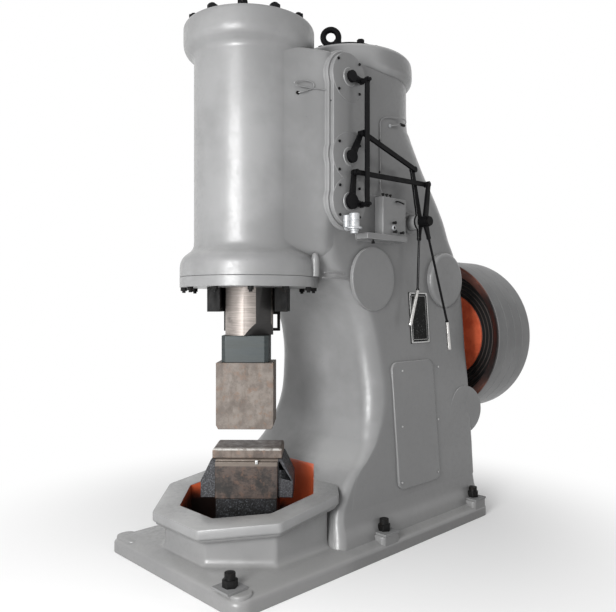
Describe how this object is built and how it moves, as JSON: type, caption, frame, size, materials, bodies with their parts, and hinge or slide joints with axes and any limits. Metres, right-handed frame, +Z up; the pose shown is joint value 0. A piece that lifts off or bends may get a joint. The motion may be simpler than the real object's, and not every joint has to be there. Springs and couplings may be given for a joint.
{
  "type": "pneumatic forging hammer",
  "caption": "Single-frame pneumatic forging hammer with hammer and compressor cylinders, hand-worked valve gear, ram with dies, anvil in a well, and crankshaft flywheel.",
  "frame": {"origin": "the ram axis at floor level, on the foot of the anvil", "axes": "+Z up along the ram; the open throat faces -Y, the compressor cylinder and the flywheel are on +Y; the valve gear and hand levers are on +X"},
  "size_m": [1.3616, 3.195, 3.646],
  "materials": {
    "frame_paint": "glossy mid-grey machine enamel over a filled casting",
    "black_paint": "black enamel",
    "black_steel": "oily black steel",
    "polished_steel": "ground and polished steel",
    "shank_steel": "blued machined steel",
    "die_steel": "rust-brown forged steel",
    "anvil_steel": "rough black casting",
    "pump_paint": "pale grey enamel and bright metal",
    "plate_metal": "black plate with a bright border",
    "wheel_iron": "turned rim with orange-red web"
  },
  "bodies": {
    "root": {"base_casting": "frame_paint", "column_casting": "frame_paint", "cylinder_block": "frame_paint", "front_cylinder": "frame_paint", "front_cover": "frame_paint", "rear_cover": "black_paint", "lifting_ring": "black_paint", "gland_ring": "frame_paint", "gland_studs": "black_steel", "ram_guide": "black_steel", "guide_strap": "black_steel", "lower_die": "die_steel", "die_holder": "die_steel", "anvil": "anvil_steel", "valve_covers": "frame_paint", "valve_plate": "frame_paint", "lever_shaft": "black_paint", "lubricator": "frame_paint", "lubricator_shelf": "frame_paint", "oil_pump": "pump_paint", "side_cover": "frame_paint", "access_cover": "frame_paint", "name_plate": "plate_metal", "bearing_housing": "frame_paint", "foundation_bolts": "black_steel"},
    "ram": {"ram": "polished_steel", "ram_shank": "shank_steel", "upper_die": "die_steel"},
    "flywheel": {"crankshaft": "polished_steel", "flywheel": "wheel_iron"},
    "upper_valve": {"upper_valve": "black_paint"},
    "middle_valve": {"middle_valve": "black_paint"},
    "lower_valve": {"lower_valve": "black_paint"},
    "link_rod": {"link_rod": "black_paint"},
    "rod_1": {"rod_1": "black_paint"},
    "rod_2": {"rod_2": "black_paint"},
    "lever_1": {"lever_1": "black_paint"},
    "lever_2": {"lever_2": "black_paint"}
  },
  "joints": [
    {"name": "ram_slide", "type": "slide", "parent": "root", "child": "ram", "axis": [0, 0, 1], "range_m": [-0.115, 0.29]},
    {"name": "flywheel_spin", "type": "hinge", "parent": "root", "child": "flywheel", "pos_m": [0, 2.03, 1.344], "axis": [0, 1, 0], "continuous": true},
    {"name": "lever_1_turn", "type": "hinge", "parent": "root", "child": "lever_1", "pos_m": [0.545, 1.138, 2.2], "axis": [1, 0, 0], "range_deg": [-6, 6]},
    {"name": "rod_1_swing", "type": "hinge", "parent": "lever_1", "child": "rod_1", "pos_m": [0.545, 1.05, 2.56], "axis": [1, 0, 0], "range_deg": [-9.17, 9.17]},
    {"name": "middle_valve_turn", "type": "hinge", "parent": "root", "child": "middle_valve", "pos_m": [0.545, 0.418, 2.556], "axis": [1, 0, 0], "range_deg": [-11.6, 11.6]},
    {"name": "lever_2_turn", "type": "hinge", "parent": "root", "child": "lever_2", "pos_m": [0.545, 1.138, 2.2], "axis": [1, 0, 0], "range_deg": [-10, 10]},
    {"name": "rod_2_swing", "type": "hinge", "parent": "lever_2", "child": "rod_2", "pos_m": [0.545, 1.178, 2.47], "axis": [1, 0, 0], "range_deg": [-10.31, 10.31]},
    {"name": "lower_valve_turn", "type": "hinge", "parent": "root", "child": "lower_valve", "pos_m": [0.545, 0.418, 2.268], "axis": [1, 0, 0], "range_deg": [-15.01, 15.01]},
    {"name": "upper_valve_turn", "type": "hinge", "parent": "root", "child": "upper_valve", "pos_m": [0.545, 0.418, 3.066], "axis": [1, 0, 0], "range_deg": [-15.01, 15.01]},
    {"name": "link_rod_swing", "type": "hinge", "parent": "lower_valve", "child": "link_rod", "pos_m": [0.545, 0.51, 2.256], "axis": [1, 0, 0], "range_deg": [-15.01, 15.01]}
  ],
  "couplings": [
    {"joint": "rod_1_swing", "follows": "lever_1_turn", "ratio": -1.4445},
    {"joint": "middle_valve_turn", "follows": "lever_1_turn", "ratio": 1.8504},
    {"joint": "rod_2_swing", "follows": "lever_2_turn", "ratio": -0.9811},
    {"joint": "lower_valve_turn", "follows": "lever_2_turn", "ratio": 1.4513},
    {"joint": "upper_valve_turn", "follows": "lever_2_turn", "ratio": 1.4513},
    {"joint": "link_rod_swing", "follows": "lever_2_turn", "ratio": -1.4513}
  ]
}
